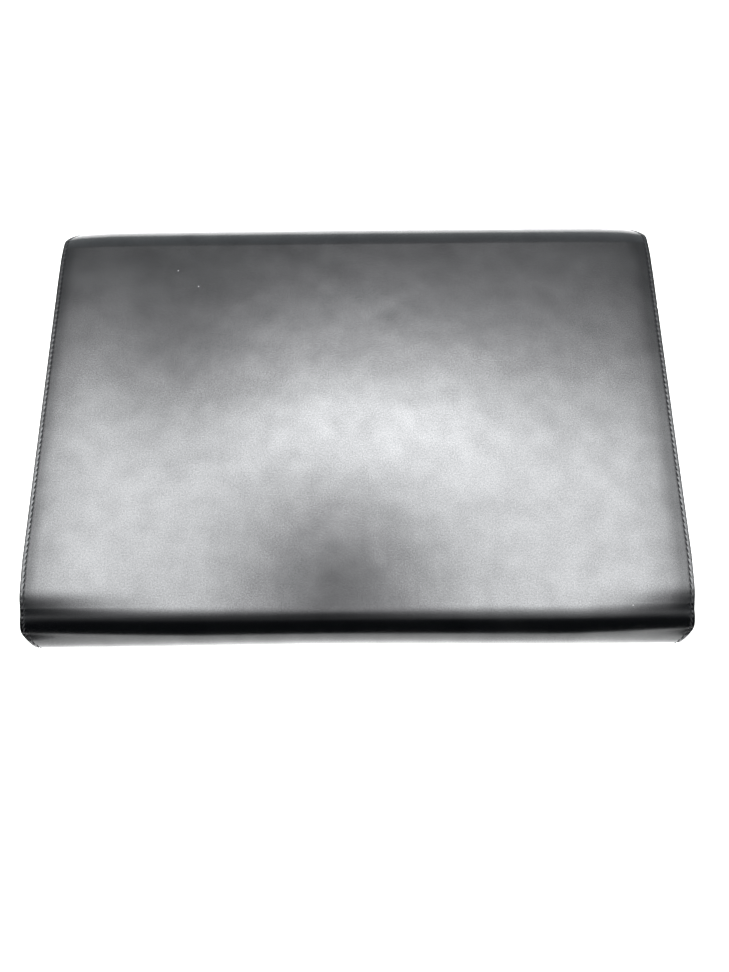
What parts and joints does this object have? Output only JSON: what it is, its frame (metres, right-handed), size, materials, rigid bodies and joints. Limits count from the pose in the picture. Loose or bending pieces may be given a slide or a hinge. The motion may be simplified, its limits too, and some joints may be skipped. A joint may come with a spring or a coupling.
{
  "type": "leather briefcase",
  "caption": "Slim black leather document case with a stitched fold-over flap, bellows sides and two flat compartments.",
  "frame": {"origin": "centre of the bounding box's bottom face: the middle of the flap's outer face plane, on the surface it lies on", "axes": "+X across the case's width, +Y from the bottom fold towards the mouth and its fold, +Z from the flap face to the back panel"},
  "size_m": [0.36, 0.258, 0.04],
  "materials": {
    "outer_leather": "smooth black box calf, semi-gloss",
    "gusset_leather": "thin black leather, satin",
    "divider_leather": "black split leather, matte",
    "facing_leather": "smooth black leather, satin",
    "lining_fabric": "woven dark grey cotton",
    "stiffener_board": "pressed fibre board, matte",
    "sewing_thread": "waxed black thread",
    "magnet_steel": "plated magnet"
  },
  "bodies": {
    "case": {"case_skin": "outer_leather", "case_lining": "lining_fabric", "back_board": "stiffener_board", "front_board": "stiffener_board", "bottom_board": "stiffener_board", "right_seam_thread": "sewing_thread", "left_seam_thread": "sewing_thread", "mouth_thread": "sewing_thread", "right_gusset": "gusset_leather", "left_gusset": "gusset_leather", "divider": "divider_leather", "mouth_facing": "facing_leather", "front_magnet_left": "magnet_steel", "front_magnet_right": "magnet_steel"},
    "fold_1": {"fold_skin_1": "outer_leather", "fold_lining_1": "lining_fabric"},
    "fold_2": {"fold_skin_2": "outer_leather", "fold_lining_2": "lining_fabric"},
    "fold_3": {"fold_skin_3": "outer_leather", "fold_lining_3": "lining_fabric"},
    "flap": {"flap_skin": "outer_leather", "flap_lining": "lining_fabric", "flap_board": "stiffener_board", "flap_thread": "sewing_thread", "flap_magnet_left": "magnet_steel", "flap_magnet_right": "magnet_steel"}
  },
  "joints": [
    {"name": "fold_bend_1", "type": "hinge", "parent": "case", "child": "fold_1", "pos_m": [0, 0.11665, 0.03848], "axis": [1, 0, 0], "range_deg": [0, 45]},
    {"name": "fold_bend_2", "type": "hinge", "parent": "fold_1", "child": "fold_2", "pos_m": [0, 0.12748, 0.02765], "axis": [1, 0, 0], "range_deg": [0, 45]},
    {"name": "fold_bend_3", "type": "hinge", "parent": "fold_2", "child": "fold_3", "pos_m": [0, 0.12748, 0.01235], "axis": [1, 0, 0], "range_deg": [0, 45]},
    {"name": "fold_bend_4", "type": "hinge", "parent": "fold_3", "child": "flap", "pos_m": [0, 0.11665, 0.00152], "axis": [1, 0, 0], "range_deg": [0, 45]}
  ],
  "couplings": [
    {"joint": "fold_bend_2", "follows": "fold_bend_1", "ratio": 1},
    {"joint": "fold_bend_3", "follows": "fold_bend_1", "ratio": 1},
    {"joint": "fold_bend_4", "follows": "fold_bend_1", "ratio": 1}
  ]
}
